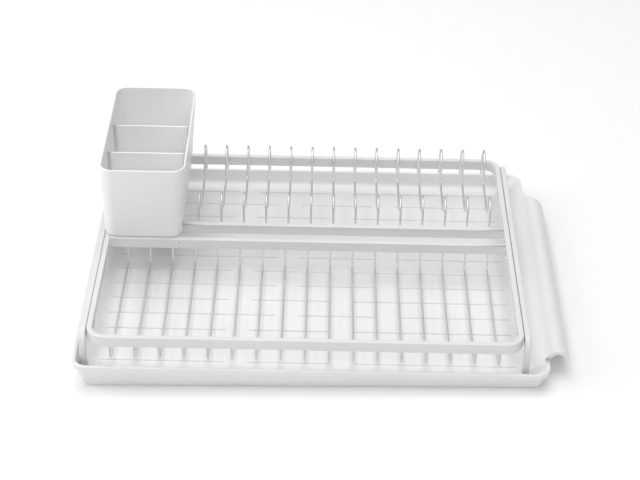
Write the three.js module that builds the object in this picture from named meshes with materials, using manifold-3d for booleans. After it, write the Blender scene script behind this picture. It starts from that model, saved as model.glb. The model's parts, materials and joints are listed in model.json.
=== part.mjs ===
// Dish drying rack: a wire rack on two leg bars, standing in a sloping drip tray, with a lift-out cutlery holder.
// Millimetres, +Z up. The tray stands on z = 0 and the origin is the bottom centre of the whole object.
// Tray rim, tray floor and rack share one draining plane that drops towards the spout side, +X. Inside that
// plane's group, z = 0 is the top face of the rack's hoop.

import * as THREE from 'three';
import { mergeVertices } from 'three/addons/utils/BufferGeometryUtils.js';
import Module from 'manifold-3d';

const wasm = await Module();
wasm.setup();

// Whole object
const drainSlope = 1.41 * Math.PI / 180;
const hoopTopHeight = 52.25;
const fitGap = 0.3;

// Drip tray, sized by the margins it leaves round the hoop
const trayMarginLeft = 14;
const trayMarginRight = 26;
const trayMarginY = 12.4;
const trayCorner = 15;
const rimTop = -27.5;
const rimBead = 5.1;
const rimWidth = 3.4;
const wallLean = 0.285;
const traySheet = 2.3;
const trayFloor = -41.5;
const floorSheet = 2.5;
const rampRun = 10.5;
const leastCorner = 4;
const floorTaper = 0.2;

// Handle arch along the spout side of the tray
const handleFrontInset = 27;
const handleRearInset = 40;
const handleRadius = 10.5;
const handleSheet = 3.8;
const handleEndSweep = 28;
const handleSink = 2.3;
const handleEndAngle = 0.08;

// Hoop and crossbars
const hoopWidth = 410;
const hoopDepth = 319.2;
const hoopCorner = 18;
const barThickness = 5.2;
const barHeight = 11.3;
const rackSetback = -1.15;
const frontBarY = 0.9;
const rearBarY = 28;

// Cutlery bay beside the left side of the hoop
const bayWidth = 65.2;

// Leg bars
const legThickness = 5.5;
const legBand = 9.6;
const legDrop = 0.8;
const legInset = 2.6;
const legBend = 15;
const legSideGap = 0.6;

// Foot pads
const padHeight = 6;
const pegRadius = 1.3;
const pegLength = 5;
const pegRoot = 1;

// Rivets
const rivetHead = 2.6;
const rivetDome = 1.4;
const shankRadius = 1.2;
const shankGrip = 4;
const shankEndRoom = 0.6;
const holeOvershoot = 2;
const rivetEndInset = 27.6;
const rivetBarOffset = 16.25;

// Wires
const wireRadius = 1.2;
const wireMargin = 16.8;
const plateMarginBay = 19.3;
const plateMarginRight = 13.5;
const wireCount = 17;
const plateWireCount = 14;
const wireBend = 4;
const wireSides = 6;
const basketDrop = 33;
const basketLean = 2.6;
const plateRun = 8.8;
const archRadius = 12.8;
const rearArchHeight = 20.5;
const frontArchHeight = 17.2;
const footRun = 12.3;
const rearLegEnd = 14.8;

// Cutlery holder
const holderHeight = 82;
const holderWall = 2;
const holderCorner = 11;
const holderTopGrow = 4;
const holderFlare = 6.4;
const holderLeftFlare = 1.6;
const dividerHeight = 68;
const dividerThickness = 1.8;
const holderBarLap = 1.5;
const holderRearInset = 3.5;
const plugDepth = 7;
const plugHeadRoom = 0.9;
const plugCorner = 12.8;
const drainRadius = 3;

// Where the pieces meet
const trayLeft = -hoopWidth / 2 - trayMarginLeft;
const trayRight = hoopWidth / 2 + trayMarginRight;
const trayDepth = hoopDepth + 2 * trayMarginY;
const handleFront = handleFrontInset - trayDepth / 2;
const handleRear = trayDepth / 2 - handleRearInset;
const hoopInnerX = hoopWidth / 2 - barThickness;
const hoopInnerY = hoopDepth / 2 - barThickness;
const legSpan = hoopDepth - 2 * legInset;
const bayBarX = -hoopInnerX + bayWidth + barThickness / 2;
const wirePitch = 2 * (hoopInnerX - wireMargin) / (wireCount - 1);
const firstPlateX = bayBarX + plateMarginBay;
const platePitch = (hoopInnerX - plateMarginRight - firstPlateX) / (plateWireCount - 1);
const frontBarRear = frontBarY + barThickness / 2;
const rearBarRear = rearBarY + barThickness / 2;
const frontArchY = rearBarRear + footRun + archRadius;
const rivetEndY = hoopDepth / 2 - rivetEndInset;
const sideRivets = [-rivetEndY, frontBarY - rivetBarOffset, frontBarY + rivetBarOffset, rivetEndY];
const wireOff = wireRadius + fitGap;
const barMiddle = -barHeight / 2;
const plugGap = fitGap + rivetDome + plugHeadRoom;

const plastic = { color: 0xe6e6e4, roughness: 0.55, metalness: 0 };
const coated = { color: 0xdedfdf, roughness: 0.4, metalness: 0.1 };
const steel = { color: 0xc9cacb, roughness: 0.25, metalness: 1 };
const padGrey = { color: 0xc4c5c6, roughness: 0.8, metalness: 0 };

function makeMesh(name, geometry, look) {
  geometry.computeVertexNormals();
  const mesh = new THREE.Mesh(geometry, new THREE.MeshStandardMaterial(look));
  mesh.name = name;
  return mesh;
}

function toSolid(geometry) {
  const bare = new THREE.BufferGeometry();
  bare.setAttribute('position', geometry.getAttribute('position'));
  if (geometry.index) bare.setIndex(geometry.index);
  const merged = mergeVertices(bare, 1e-4);
  return new wasm.Manifold(new wasm.Mesh({
    numProp: 3,
    vertProperties: merged.getAttribute('position').array,
    triVerts: new Uint32Array(merged.index.array),
  }));
}

function toGeometry(solid) {
  const mesh = solid.getMesh();
  const geometry = new THREE.BufferGeometry();
  geometry.setAttribute('position', new THREE.BufferAttribute(mesh.vertProperties, 3));
  geometry.setIndex(new THREE.BufferAttribute(mesh.triVerts, 1));
  return geometry;
}

// Extrudes a flat shape upwards from z = low.
function extrudeUp(shape, low, height, curveSegments = 6) {
  const geometry = new THREE.ExtrudeGeometry(shape, { depth: height, bevelEnabled: false, curveSegments });
  return geometry.translate(0, 0, low);
}

function traceRounded(path, minX, minY, maxX, maxY, radius) {
  path.moveTo(minX + radius, minY);
  path.lineTo(maxX - radius, minY);
  path.absarc(maxX - radius, minY + radius, radius, -Math.PI / 2, 0);
  path.lineTo(maxX, maxY - radius);
  path.absarc(maxX - radius, maxY - radius, radius, 0, Math.PI / 2);
  path.lineTo(minX + radius, maxY);
  path.absarc(minX + radius, maxY - radius, radius, Math.PI / 2, Math.PI);
  path.lineTo(minX, minY + radius);
  path.absarc(minX + radius, minY + radius, radius, Math.PI, Math.PI * 1.5);
  return path;
}

// One horizontal ring of a lofted wall: a rounded rectangle whose height may follow x.
function makeRing({ minX, maxX, minY, maxY, radius, height }) {
  const steps = 5;
  const corners = [
    [maxX - radius, minY + radius, -90],
    [maxX - radius, maxY - radius, 0],
    [minX + radius, maxY - radius, 90],
    [minX + radius, minY + radius, 180],
  ];
  const heightAt = typeof height === 'function' ? height : () => height;
  return corners.flatMap(([x, y, start]) => Array.from({ length: steps + 1 }, (_, step) => {
    const angle = THREE.MathUtils.degToRad(start + step * 90 / steps);
    const px = x + radius * Math.cos(angle);
    return new THREE.Vector3(px, y + radius * Math.sin(angle), heightAt(px));
  }));
}

// Joins rings from the underside's cap, round the rim, to the upper side's cap.
function loftRings(rings) {
  const count = rings[0].length;
  const positions = rings.flatMap((ring) => ring.flatMap((point) => point.toArray()));
  const index = [];
  for (let level = 0; level < rings.length - 1; level += 1) {
    for (let i = 0; i < count; i += 1) {
      const a = level * count + i;
      const b = level * count + (i + 1) % count;
      index.push(a, b, b + count, a, b + count, a + count);
    }
  }
  const last = (rings.length - 1) * count;
  for (let i = 1; i < count - 1; i += 1) {
    index.push(0, i + 1, i);
    index.push(last, last + i, last + i + 1);
  }
  const geometry = new THREE.BufferGeometry();
  geometry.setAttribute('position', new THREE.Float32BufferAttribute(positions, 3));
  geometry.setIndex(index);
  return geometry;
}

// Height, in the draining plane's group, of the table under the tray.
function tableAt(x) {
  return (x * Math.sin(drainSlope) - hoopTopHeight) / Math.cos(drainSlope);
}

function makeTrayBasin() {
  const wallOffset = (z) => rimWidth + (rimTop - z) * wallLean;
  const skirtOffset = (z) => wallOffset(z) - traySheet;
  const ringAt = (offset, height, rampExtra = 0) => makeRing({
    minX: trayLeft + offset,
    maxX: trayRight - offset - rampExtra,
    minY: -trayDepth / 2 + offset,
    maxY: trayDepth / 2 - offset,
    radius: Math.max(trayCorner - offset, leastCorner),
    height,
  });
  const beadBottom = rimTop - rimBead;
  const underFloor = trayFloor - floorSheet;
  const footOffset = skirtOffset(-hoopTopHeight);
  return loftRings([
    ringAt(wallOffset(underFloor) - floorTaper, underFloor, rampRun),
    ringAt(footOffset + traySheet, tableAt),
    ringAt(footOffset, tableAt),
    ringAt(skirtOffset(beadBottom), beadBottom),
    ringAt(0, beadBottom),
    ringAt(0, rimTop),
    ringAt(rimWidth, rimTop),
    ringAt(wallOffset(trayFloor), trayFloor, rampRun),
  ]);
}

// Arch that carries the ramp on over the rim and down outside it, with its rear end swept back to the rim in an S.
function makeHandleArch() {
  const centreX = trayRight + handleRadius - rimWidth / 2;
  const centreZ = rimTop - handleSink;
  const innerRadius = handleRadius - handleSheet;
  const rimX = trayRight - rimWidth;
  const toRim = Math.atan2(rimTop - centreZ, rimX - centreX);
  const tangent = toRim - Math.acos(handleRadius / Math.hypot(rimX - centreX, rimTop - centreZ));
  const profile = new THREE.Shape();
  profile.absarc(centreX, centreZ, handleRadius, handleEndAngle, tangent);
  profile.lineTo(rimX, rimTop);
  profile.absarc(centreX, centreZ, innerRadius, Math.PI - handleEndAngle, handleEndAngle, true);
  profile.closePath();
  const arch = extrudeUp(profile, 0, handleRear - handleFront, 12);
  arch.rotateX(Math.PI / 2).translate(0, handleRear, 0);

  const margin = 5;
  const insideX = rimX - margin;
  const outerX = centreX + handleRadius + margin;
  const middleX = (trayRight + outerX) / 2;
  const plan = new THREE.Shape();
  plan.moveTo(insideX, handleFront - margin);
  plan.lineTo(outerX, handleFront - margin);
  plan.lineTo(outerX, handleRear - handleEndSweep);
  plan.quadraticCurveTo(outerX, handleRear - handleEndSweep * 0.5, middleX, handleRear - handleEndSweep * 0.38);
  plan.quadraticCurveTo(trayRight, handleRear - handleEndSweep * 0.25, trayRight, handleRear + margin);
  plan.lineTo(insideX, handleRear + margin);
  plan.closePath();
  const keep = extrudeUp(plan, -hoopTopHeight, hoopTopHeight);
  return toSolid(arch).intersect(toSolid(keep));
}

function makeTray() {
  const tray = toSolid(makeTrayBasin()).add(makeHandleArch());
  return makeMesh('drip_tray', toGeometry(tray), plastic);
}

// A round tool along x, used to drill the rivet holes.
function drillX(x, y, length, radius) {
  const tool = new THREE.CylinderGeometry(radius, radius, length, 10);
  return toSolid(tool.rotateZ(Math.PI / 2).translate(x, y, barMiddle));
}

function drillY(x, y, length, radius) {
  const tool = new THREE.CylinderGeometry(radius, radius, length, 10);
  return toSolid(tool.translate(x, y, barMiddle));
}

function makeHoop() {
  const shape = traceRounded(new THREE.Shape(), -hoopWidth / 2, -hoopDepth / 2, hoopWidth / 2, hoopDepth / 2, hoopCorner);
  shape.holes.push(traceRounded(
    new THREE.Path(), -hoopInnerX, -hoopInnerY, hoopInnerX, hoopInnerY, hoopCorner - barThickness));
  let hoop = toSolid(extrudeUp(shape, -barHeight, barHeight, 8));
  const holeRadius = shankRadius + fitGap;
  for (const y of sideRivets) {
    for (const side of [-1, 1]) {
      hoop = hoop.subtract(drillX(side * (hoopInnerX + barThickness / 2), y, barThickness + holeOvershoot, holeRadius));
    }
  }
  hoop = hoop.subtract(drillY(bayBarX, hoopInnerY + barThickness / 2, barThickness + holeOvershoot, holeRadius));
  return makeMesh('rim_hoop', toGeometry(hoop), coated);
}

function makeBar(name, startX, endX, startY, endY, holes) {
  const box = new THREE.BoxGeometry(endX - startX, endY - startY, barHeight);
  box.translate((startX + endX) / 2, (startY + endY) / 2, barMiddle);
  const solid = holes.reduce((bar, hole) => bar.subtract(hole), toSolid(box));
  return makeMesh(name, toGeometry(solid), coated);
}

function makeCrossbars() {
  const half = barThickness / 2;
  const reach = hoopInnerX - fitGap;
  const holeRadius = shankRadius + fitGap;
  const bayFront = frontBarRear + fitGap;
  const bayRear = hoopInnerY - fitGap;
  return [
    makeBar('front_crossbar', -reach, reach, frontBarY - half, frontBarY + half, [
      drillY(bayBarX, frontBarY, barThickness + holeOvershoot, holeRadius),
    ]),
    makeBar('rear_crossbar', bayBarX + half + fitGap, reach, rearBarY - half, rearBarY + half, []),
    makeBar('bay_divider_bar', bayBarX - half, bayBarX + half, bayFront, bayRear, [
      drillY(bayBarX, bayFront, 2 * shankGrip, holeRadius),
      drillY(bayBarX, bayRear, 2 * shankGrip, holeRadius),
    ]),
  ];
}

// Inverted-U leg bar, drawn in the y-z plane and extruded along x.
function makeLeg(name, side) {
  const top = -legDrop;
  const bottom = trayFloor + padHeight + 2 * fitGap;
  const half = legSpan / 2;
  const inner = legBend - legBand;
  const shape = new THREE.Shape();
  shape.moveTo(-half, bottom);
  shape.lineTo(-half + legBand, bottom);
  shape.lineTo(-half + legBand, top - legBend);
  shape.absarc(-half + legBend, top - legBend, inner, Math.PI, Math.PI / 2, true);
  shape.lineTo(half - legBend, top - legBand);
  shape.absarc(half - legBend, top - legBend, inner, Math.PI / 2, 0, true);
  shape.lineTo(half - legBand, bottom);
  shape.lineTo(half, bottom);
  shape.lineTo(half, top - legBend);
  shape.absarc(half - legBend, top - legBend, legBend, 0, Math.PI / 2);
  shape.lineTo(-half + legBend, top);
  shape.absarc(-half + legBend, top - legBend, legBend, Math.PI / 2, Math.PI);
  const geometry = extrudeUp(shape, 0, legThickness, 7);
  const insideX = hoopWidth / 2 + legSideGap;
  geometry.rotateX(Math.PI / 2).rotateZ(Math.PI / 2);
  geometry.translate(side > 0 ? insideX : -insideX - legThickness, 0, 0);
  let leg = toSolid(geometry);
  for (const y of sideRivets) {
    leg = leg.subtract(drillX(side * insideX, y, 2 * shankGrip, shankRadius + fitGap));
  }
  for (const end of [-1, 1]) {
    const socket = new THREE.CylinderGeometry(pegRadius + fitGap, pegRadius + fitGap, 2 * (pegLength + fitGap), 10);
    socket.rotateX(Math.PI / 2);
    socket.translate(side * (insideX + legThickness / 2), end * (half - legBand / 2), bottom);
    leg = leg.subtract(toSolid(socket));
  }
  return makeMesh(name, toGeometry(leg), coated);
}

// Pad under a leg end, held by a peg that goes up into the leg.
function makePad(name, side, end) {
  const low = trayFloor + fitGap;
  const box = new THREE.BoxGeometry(legThickness, legBand, padHeight);
  box.translate(0, 0, low + padHeight / 2);
  const peg = new THREE.CylinderGeometry(pegRadius, pegRadius, pegLength + pegRoot, 10);
  peg.rotateX(Math.PI / 2).translate(0, 0, low + padHeight + (pegLength - pegRoot) / 2);
  const pad = makeMesh(name, toGeometry(toSolid(box).add(toSolid(peg))), padGrey);
  pad.position.x = side * (hoopWidth / 2 + legSideGap + legThickness / 2);
  pad.position.y = end * (legSpan - legBand) / 2;
  return pad;
}

// Rivet standing on z = 0 with its dome up and its shank down.
function makeRivet(name, shankLength) {
  const profile = [new THREE.Vector2(0, -shankLength), new THREE.Vector2(shankRadius, -shankLength)];
  profile.push(new THREE.Vector2(shankRadius, 0));
  const steps = 4;
  for (let step = 0; step <= steps; step += 1) {
    const angle = step * Math.PI / 2 / steps;
    profile.push(new THREE.Vector2(step === steps ? 0 : rivetHead * Math.cos(angle), rivetDome * Math.sin(angle)));
  }
  const geometry = toGeometry(toSolid(new THREE.LatheGeometry(profile, 10).rotateX(Math.PI / 2)));
  return makeMesh(name, geometry, steel);
}

function makeRivets() {
  const rivets = [];
  const places = ['front', 'front_middle', 'rear_middle', 'rear'];
  const sideShank = fitGap + barThickness + legSideGap + shankGrip - shankEndRoom;
  for (const [sideName, side] of [['left', -1], ['right', 1]]) {
    sideRivets.forEach((y, i) => {
      const rivet = makeRivet(`${sideName}_${places[i]}_rivet`, sideShank);
      rivet.rotation.y = -side * Math.PI / 2;
      rivet.position.set(side * (hoopInnerX - fitGap), y, barMiddle);
      rivets.push(rivet);
    });
  }
  const bayShank = fitGap + barThickness + fitGap + shankGrip - shankEndRoom;
  const front = makeRivet('bay_front_rivet', bayShank);
  front.rotation.x = Math.PI / 2;
  front.position.set(bayBarX, frontBarY - barThickness / 2 - fitGap, barMiddle);
  const rear = makeRivet('bay_rear_rivet', bayShank);
  rear.rotation.x = -Math.PI / 2;
  rear.position.set(bayBarX, hoopDepth / 2 + fitGap, barMiddle);
  rivets.push(front, rear);
  return rivets;
}

// Rounds one corner of a wire's route with an arc of the given radius.
function roundCorner(before, corner, after, radius, steps = 3) {
  const inward = before.clone().sub(corner).normalize();
  const outward = after.clone().sub(corner).normalize();
  const reach = radius / Math.tan(inward.angleTo(outward) / 2);
  const start = corner.clone().addScaledVector(inward, reach);
  const end = corner.clone().addScaledVector(outward, reach);
  const curve = new THREE.QuadraticBezierCurve(start, corner, end);
  return curve.getPoints(steps);
}

function roundRoute(points, radius) {
  return points.flatMap((point, i) => {
    if (i === 0 || i === points.length - 1) return [point];
    return roundCorner(points[i - 1], point, points[i + 1], radius);
  });
}

// Round wire along a flat route of (y, z) points, centred on x = 0.
function makeWire(name, route) {
  const rings = route.map((point, i) => {
    const before = route[Math.max(i - 1, 0)];
    const after = route[Math.min(i + 1, route.length - 1)];
    const along = after.clone().sub(before).normalize();
    const across = new THREE.Vector2(-along.y, along.x);
    return Array.from({ length: wireSides }, (_, side) => {
      const angle = side * 2 * Math.PI / wireSides;
      const lift = wireRadius * Math.sin(angle);
      return new THREE.Vector3(
        wireRadius * Math.cos(angle), point.x + across.x * lift, point.y + across.y * lift);
    });
  });
  return makeMesh(name, loftRings(rings.reverse()), steel);
}

// U-shaped wire of the front basket, from the front crossbar to the front of the hoop.
function basketRoute() {
  const rearY = frontBarRear + wireOff;
  const frontY = -hoopInnerY + wireOff;
  const corners = [
    [rearY, barMiddle],
    [rearY, -basketDrop],
    [frontY + basketLean, -basketDrop],
    [frontY, barMiddle],
  ];
  return roundRoute(corners.map(([y, z]) => new THREE.Vector2(y, z)), wireBend);
}

function archPoints(centreY, apex, steps = 6) {
  const centreZ = apex - archRadius;
  return Array.from({ length: steps + 1 }, (_, step) => {
    const angle = step * Math.PI / steps;
    return new THREE.Vector2(centreY + archRadius * Math.cos(angle), centreZ + archRadius * Math.sin(angle));
  });
}

// Plate wire: an arch at the rear of the hoop, a level run, and a second arch behind the rear crossbar.
function plateRoute() {
  const rearArchY = hoopInnerY - wireOff - archRadius;
  const run = (y) => new THREE.Vector2(y, -plateRun);
  const rearArch = archPoints(rearArchY, rearArchHeight);
  const frontArch = archPoints(frontArchY, frontArchHeight);
  const runRear = roundCorner(rearArch.at(-1), run(rearArchY - archRadius), run(frontArchY), wireBend);
  const runFront = roundCorner(run(rearArchY), run(frontArchY + archRadius), frontArch[0], wireBend);
  const footTurn = run(frontArchY - archRadius);
  const footEnd = run(rearBarRear + fitGap);
  return [
    new THREE.Vector2(hoopInnerY - wireOff, -rearLegEnd),
    ...rearArch,
    ...runRear,
    ...runFront,
    ...frontArch,
    ...roundCorner(frontArch.at(-1), footTurn, footEnd, wireBend),
    footEnd,
  ];
}

function makeWires() {
  const wires = [];
  for (let i = 0; i < wireCount; i += 1) {
    const basket = makeWire(`basket_wire_${i + 1}`, basketRoute());
    basket.position.x = (i - (wireCount - 1) / 2) * wirePitch;
    wires.push(basket);
  }
  for (let i = 0; i < plateWireCount; i += 1) {
    const plate = makeWire(`plate_wire_${i + 1}`, plateRoute());
    plate.position.x = firstPlateX + i * platePitch;
    wires.push(plate);
  }
  return wires;
}

// Tapered box between two levels, grown outwards at the top.
function taperedBox({ minX, maxX, minY, maxY }, low, high, radius, { left, right, grow }) {
  const ring = (height, share) => makeRing({
    minX: minX - left * share,
    maxX: maxX + right * share,
    minY: minY - grow * share,
    maxY: maxY + grow * share,
    radius: radius + grow * share / 2,
    height,
  });
  return toSolid(loftRings([ring(low, 0), ring(high, 1)]));
}

function shrink(box, by) {
  return { minX: box.minX + by, maxX: box.maxX - by, minY: box.minY + by, maxY: box.maxY - by };
}

// Three-compartment cutlery holder whose stepped base drops into the bay between the bars.
function makeHolder() {
  const seat = fitGap;
  const half = barThickness / 2;
  const base = {
    minX: -hoopWidth / 2, maxX: bayBarX + half + holderBarLap, minY: frontBarY, maxY: hoopDepth / 2 - holderRearInset,
  };
  const plug = {
    minX: -hoopInnerX + plugGap,
    maxX: bayBarX - half - plugGap,
    minY: frontBarRear + plugGap,
    maxY: hoopInnerY - plugGap,
  };
  const floor = seat - plugDepth + holderWall;
  const inside = shrink(base, holderWall);
  const mouth = { left: holderLeftFlare, right: holderFlare, grow: holderTopGrow };
  const straight = { left: 0, right: 0, grow: 0 };
  let hollow = taperedBox(inside, seat + holderWall, holderHeight + 1, holderCorner - 2, mouth);
  hollow = hollow.add(taperedBox(
    shrink(plug, holderWall), floor, seat + holderWall + 1, plugCorner - holderWall, straight));
  const depth = base.maxY - base.minY;
  for (const share of [1 / 3, 2 / 3]) {
    const divider = new THREE.BoxGeometry(2 * bayWidth, dividerThickness, dividerHeight + plugDepth);
    divider.translate((base.minX + base.maxX) / 2, base.minY + depth * share, (dividerHeight - plugDepth) / 2);
    hollow = hollow.subtract(toSolid(divider));
  }
  let holder = taperedBox(base, seat, holderHeight, holderCorner, mouth);
  holder = holder.add(taperedBox(plug, seat - plugDepth, seat + 1, plugCorner, straight)).subtract(hollow);
  for (const share of [1 / 6, 3 / 6, 5 / 6]) {
    for (const sideways of [0.3, 0.7]) {
      const hole = new THREE.CylinderGeometry(drainRadius, drainRadius, 3 * holderWall, 10);
      hole.rotateX(Math.PI / 2);
      hole.translate(THREE.MathUtils.lerp(plug.minX, plug.maxX, sideways), base.minY + depth * share, floor - 1);
      holder = holder.subtract(toSolid(hole));
    }
  }
  return makeMesh('cutlery_holder', toGeometry(holder), plastic);
}

function makeRack() {
  const rack = new THREE.Group();
  rack.name = 'rack';
  rack.position.y = rackSetback;
  rack.add(makeHoop(), ...makeCrossbars(), ...makeRivets(), ...makeWires());
  for (const [sideName, side] of [['left', -1], ['right', 1]]) {
    rack.add(makeLeg(`${sideName}_leg_bar`, side));
    rack.add(makePad(`${sideName}_front_foot_pad`, side, -1), makePad(`${sideName}_rear_foot_pad`, side, 1));
  }
  rack.add(makeHolder());
  return rack;
}

const drainingPlane = new THREE.Group();
drainingPlane.name = 'draining_plane';
drainingPlane.rotation.y = drainSlope;
drainingPlane.add(makeTray(), makeRack());

const dishRack = new THREE.Group();
dishRack.name = 'dish_drying_rack';
dishRack.add(drainingPlane);

// Centres the object over the origin; the table is hoopTopHeight below the draining plane's own origin.
const extent = new THREE.Box3().setFromObject(dishRack, true);
drainingPlane.position.set(-(extent.min.x + extent.max.x) / 2, -(extent.min.y + extent.max.y) / 2, hoopTopHeight);
dishRack.updateMatrixWorld(true);

export default dishRack;
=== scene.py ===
import json
import math
import bmesh
import bpy
from mathutils import Matrix, Vector


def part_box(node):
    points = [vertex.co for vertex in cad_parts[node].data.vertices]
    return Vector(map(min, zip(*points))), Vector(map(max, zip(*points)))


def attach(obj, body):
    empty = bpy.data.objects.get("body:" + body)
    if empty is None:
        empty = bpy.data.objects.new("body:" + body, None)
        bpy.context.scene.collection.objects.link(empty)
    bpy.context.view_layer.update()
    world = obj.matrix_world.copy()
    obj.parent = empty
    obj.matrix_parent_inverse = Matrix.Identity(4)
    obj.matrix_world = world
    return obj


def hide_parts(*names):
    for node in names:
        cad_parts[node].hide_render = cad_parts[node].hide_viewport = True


# Dish drying rack: sloping drip tray, wire rack on two leg bars, lift-out cutlery holder.
# Pieces are drawn along the draining plane's own axes, then turned by its slope into the shared frame.

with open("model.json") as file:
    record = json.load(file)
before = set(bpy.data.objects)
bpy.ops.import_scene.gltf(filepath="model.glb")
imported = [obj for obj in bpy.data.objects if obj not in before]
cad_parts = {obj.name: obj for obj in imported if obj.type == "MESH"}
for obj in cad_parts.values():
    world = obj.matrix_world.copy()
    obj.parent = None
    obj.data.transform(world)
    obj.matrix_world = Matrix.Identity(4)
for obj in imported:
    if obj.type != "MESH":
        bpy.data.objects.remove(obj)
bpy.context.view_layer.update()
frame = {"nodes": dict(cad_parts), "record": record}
nodes = frame["nodes"]
mm = 0.001
print("frame loaded:", len(nodes), "nodes")

# the draining plane's slope follows the row of basket wires
def middleOf(node):
    low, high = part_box(node)
    return (low + high) / 2

firstWire = middleOf("basket_wire_1")
lastWire = middleOf("basket_wire_17")
drainSlope = math.atan2(firstWire.z - lastWire.z, lastWire.x - firstWire.x)
toFrame = Matrix.Rotation(drainSlope, 4, "Y")
toPlane = toFrame.inverted()

# lowest and highest corner of a node along the plane's axes
def span(node):
    points = [toPlane @ v.co for v in nodes[node].data.vertices]
    low = Vector([min(p[k] for p in points) for k in range(3)])
    high = Vector([max(p[k] for p in points) for k in range(3)])
    return low, high

hoopLow, hoopHigh = span("rim_hoop")
hoopTop = hoopHigh.z
hoopX = (hoopLow.x + hoopHigh.x) / 2
hoopY = (hoopLow.y + hoopHigh.y) / 2

# a socket that can be used in Python arithmetic
class Tone:
    def __init__(self, graph, socket):
        self.graph = graph
        self.socket = socket

    def math(self, operation, first, second):
        return self.graph.add("ShaderNodeMath", {"operation": operation}, {0: first, 1: second})

    def __add__(self, other):
        return self.math("ADD", self, other)

    def __radd__(self, other):
        return self.math("ADD", other, self)

    def __sub__(self, other):
        return self.math("SUBTRACT", self, other)

    def __rsub__(self, other):
        return self.math("SUBTRACT", other, self)

    def __mul__(self, other):
        return self.math("MULTIPLY", self, other)

    def __rmul__(self, other):
        return self.math("MULTIPLY", other, self)

# the node tree of one material; the finish gives the shader's constant values
class Graph:
    def __init__(self, name, finish):
        self.material = bpy.data.materials.new(name)
        self.material.use_nodes = True
        self.tree = self.material.node_tree
        self.shader = self.tree.nodes["Principled BSDF"]
        for socketName, value in finish.items():
            self.shader.inputs[socketName].default_value = value
        self.place = self.add("ShaderNodeTexCoord", {}, {}, "Object")

    # any node: its settings first, then the values or links of its sockets
    def add(self, kind, settings, sockets, out=0):
        node = self.tree.nodes.new(kind)
        for name, value in settings.items():
            if name == "stops":
                self.setStops(node.color_ramp, value)
            else:
                setattr(node, name, value)
        for key, value in sockets.items():
            self.feed(node.inputs[key], value)
        return Tone(self, node.outputs[out])

    def setStops(self, ramp, stops):
        while len(ramp.elements) < len(stops):
            ramp.elements.new(0.5)
        for element, (position, shade) in zip(ramp.elements, stops):
            element.position = position
            element.color = (shade, shade, shade, 1)

    def feed(self, socket, value):
        if isinstance(value, Tone):
            self.tree.links.new(value.socket, socket)
        else:
            socket.default_value = value

    def noise(self, scale, detail=2.0, roughness=0.5, place=None):
        return self.add("ShaderNodeTexNoise", {}, {
            "Vector": place or self.place, "Scale": scale, "Detail": detail, "Roughness": roughness}, "Fac")

    def stretched(self, scale):
        return self.add("ShaderNodeMapping", {}, {"Vector": self.place, "Scale": scale}, "Vector")

    def ramp(self, value, stops):
        return self.add("ShaderNodeValToRGB", {"stops": stops}, {"Fac": value}, "Color")

    def mixed(self, factor, first, second):
        return self.add("ShaderNodeMix", {"data_type": "RGBA"}, {
            "Factor": factor, 6: (*first, 1) if isinstance(first, tuple) else first,
            7: (*second, 1) if isinstance(second, tuple) else second}, 2)

    def edges(self, low, high):
        pointy = self.add("ShaderNodeNewGeometry", {}, {}, "Pointiness")
        return self.ramp(pointy, [(low, 0), (high, 1)])

    def bump(self, height, strength, depth, before=None):
        sockets = {"Height": height, "Strength": strength, "Distance": depth}
        if before:
            sockets["Normal"] = before
        return self.add("ShaderNodeBump", {}, sockets, "Normal")

    def finish(self, **sockets):
        names = {
            "color": "Base Color", "roughness": "Roughness", "normal": "Normal", "metallic": "Metallic",
        }
        for name, value in sockets.items():
            self.feed(self.shader.inputs[names[name]], value)
        return self.material

# edge: the lighter colour along sharp edges, a painted highlight
plasticLook = {
    "tint": (0.865, 0.865, 0.862), "shade": (0.835, 0.836, 0.834), "edge": (0.90, 0.90, 0.897),
    "grain": 1500, "mottle": 14, "gloss": 0.30, "grainDepth": 0.00006,
    "flow": 5, "flowStretch": (1.0, 3.5, 1.0), "flowDepth": 0.0006,
}

# satin moulded plastic: spark-eroded grain, faint flow marks, edges rubbed a little smoother and painted
# lighter as a highlight
def mouldedPlastic(name, look):
    graph = Graph(name, {"IOR": 1.48, "Specular IOR Level": 0.45})
    grain = graph.noise(look["grain"], 3, 0.6)
    mottle = graph.noise(look["mottle"], 4, 0.55)
    flow = graph.noise(look["flow"], 3, 0.5, graph.stretched(look["flowStretch"]))
    edgeRubAndSheen = graph.edges(0.515, 0.56)
    color = graph.mixed(graph.ramp(mottle, [(0.35, 0), (0.65, 1)]), look["tint"], look["shade"])
    # lighter along sharp edges: painted highlight; the same mask makes them smoother, the real rubbing
    color = graph.mixed(edgeRubAndSheen * 0.55, color, look["edge"])
    roughness = look["gloss"] + mottle * 0.08 + grain * 0.06 - edgeRubAndSheen * 0.08
    normal = graph.bump(grain, 0.10, look["grainDepth"])
    normal = graph.bump(flow, 0.05, look["flowDepth"], normal)
    return graph.finish(color=color, roughness=roughness, normal=normal)

# edge: the brighter colour along sharp edges, a painted highlight
coatLook = {
    "tint": (0.795, 0.797, 0.797), "shade": (0.765, 0.768, 0.769), "edge": (0.87, 0.871, 0.87),
    "peel": 620, "pits": 2600, "cloud": 22, "gloss": 0.30, "peelDepth": 0.00010, "pitDepth": 0.00003,
}

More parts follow.
